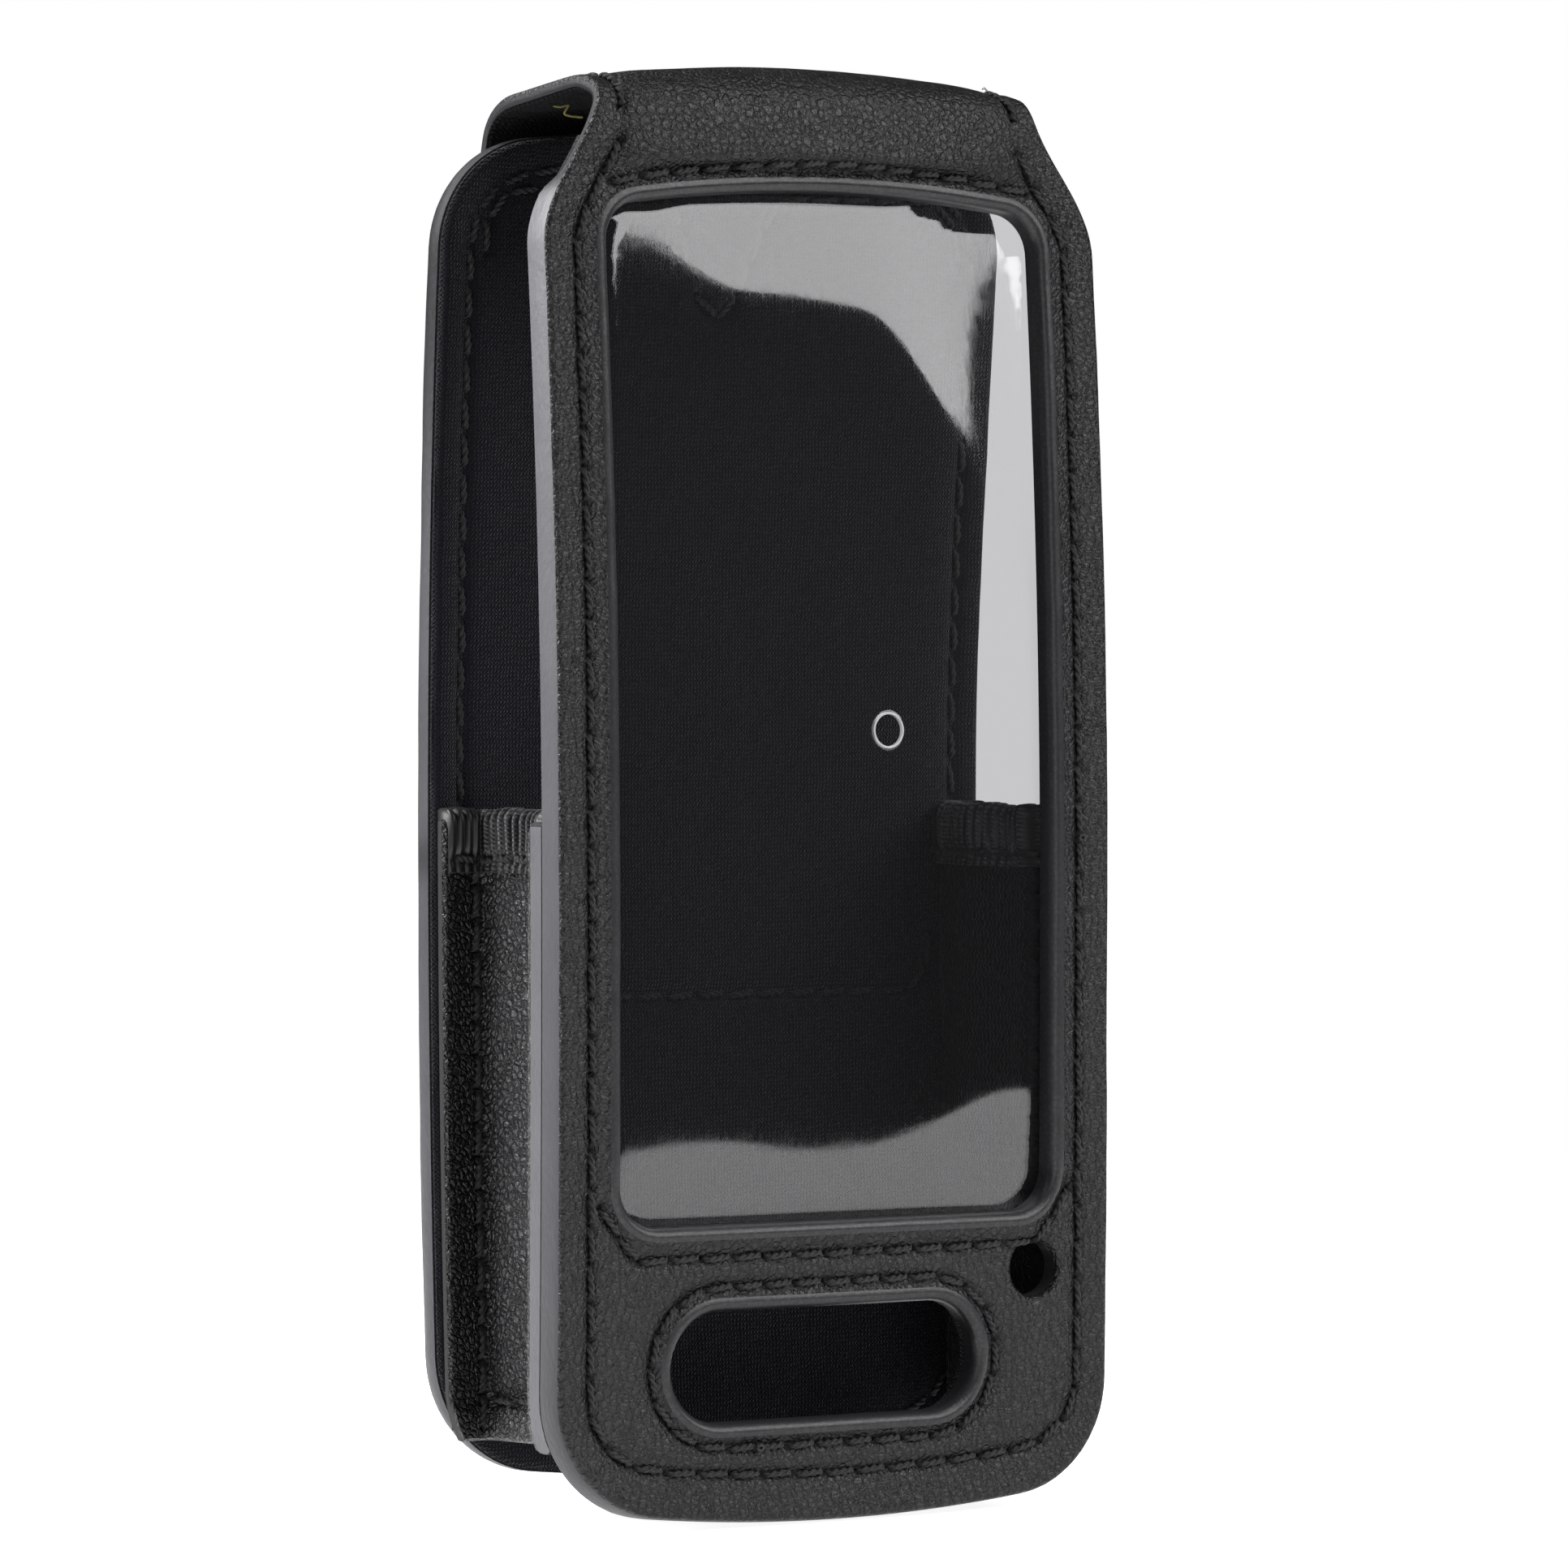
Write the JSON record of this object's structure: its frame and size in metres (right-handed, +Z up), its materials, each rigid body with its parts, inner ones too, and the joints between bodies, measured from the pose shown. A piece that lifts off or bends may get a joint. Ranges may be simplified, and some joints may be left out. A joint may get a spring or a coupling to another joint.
{
  "type": "leather carry case",
  "caption": "Slim open-sided leather carry case with a clear display window, speaker slot, half-height side gussets, belt loop and wrap-over closing flap.",
  "frame": {"origin": "centre of the case's foot, half way between the front stitching's crest and the belt loop's rear face", "axes": "+X to the right as the front is looked at, +Y towards the back, +Z up along the case"},
  "size_m": [0.065, 0.0324, 0.1443],
  "materials": {
    "leather": "fine pebble grain, satin, grey painted edges",
    "gusset_leather": "soft grained, semi-gloss",
    "knit": "fine warp knit, matte",
    "elastic": "ribbed elastic knit, matte",
    "ribbon": "ribbed grosgrain, slight sheen",
    "tape": "hook and loop pile, matte",
    "thread": "twisted polyester, satin",
    "board": "raw stiffening board",
    "film": "clear flexible vinyl, glossy"
  },
  "bodies": {
    "front_shell": {"front_leather": "leather", "front_stiffener": "board", "front_lining": "knit", "window_film": "film", "front_edge_thread": "thread", "window_head_thread": "thread", "window_sill_thread": "thread", "slot_thread": "thread", "left_gusset_leather": "gusset_leather", "left_gusset_lining": "elastic", "left_gusset_binding": "ribbon", "left_gusset_thread": "thread", "right_gusset_leather": "gusset_leather", "right_gusset_lining": "elastic", "right_gusset_binding": "ribbon", "right_gusset_thread": "thread", "bottom_strap": "gusset_leather"},
    "back_shell": {"back_leather": "leather", "back_stiffener": "board", "back_lining": "knit", "back_edge_thread": "thread", "belt_loop": "leather", "belt_loop_head_thread": "thread", "belt_loop_foot_thread": "thread", "loop_tape": "tape", "loop_tape_thread": "thread"},
    "flap_top": {"flap_leather": "leather", "flap_lining": "knit", "flap_thread": "thread"},
    "flap_tail": {"tail_leather": "leather", "hook_tape": "tape", "tail_thread": "thread"}
  },
  "joints": [
    {"name": "pocket_squeeze", "type": "hinge", "parent": "front_shell", "child": "back_shell", "pos_m": [0, 0.00961, 0.0027], "axis": [1, 0, 0], "range_deg": [0, 5], "stiffness_Nm_per_rad": 0.02, "deforming": ["left_gusset_leather", "left_gusset_lining", "left_gusset_binding", "left_gusset_thread", "right_gusset_leather", "right_gusset_lining", "right_gusset_binding", "right_gusset_thread", "bottom_strap"]},
    {"name": "flap_fold", "type": "hinge", "parent": "front_shell", "child": "flap_top", "pos_m": [0, -0.01579, 0.138], "axis": [1, 0, 0], "range_deg": [0, 150]},
    {"name": "tail_peel", "type": "hinge", "parent": "flap_top", "child": "flap_tail", "pos_m": [0, 0.01341, 0.135], "axis": [1, 0, 0], "range_deg": [0, 90], "stiffness_Nm_per_rad": 0.001}
  ]
}
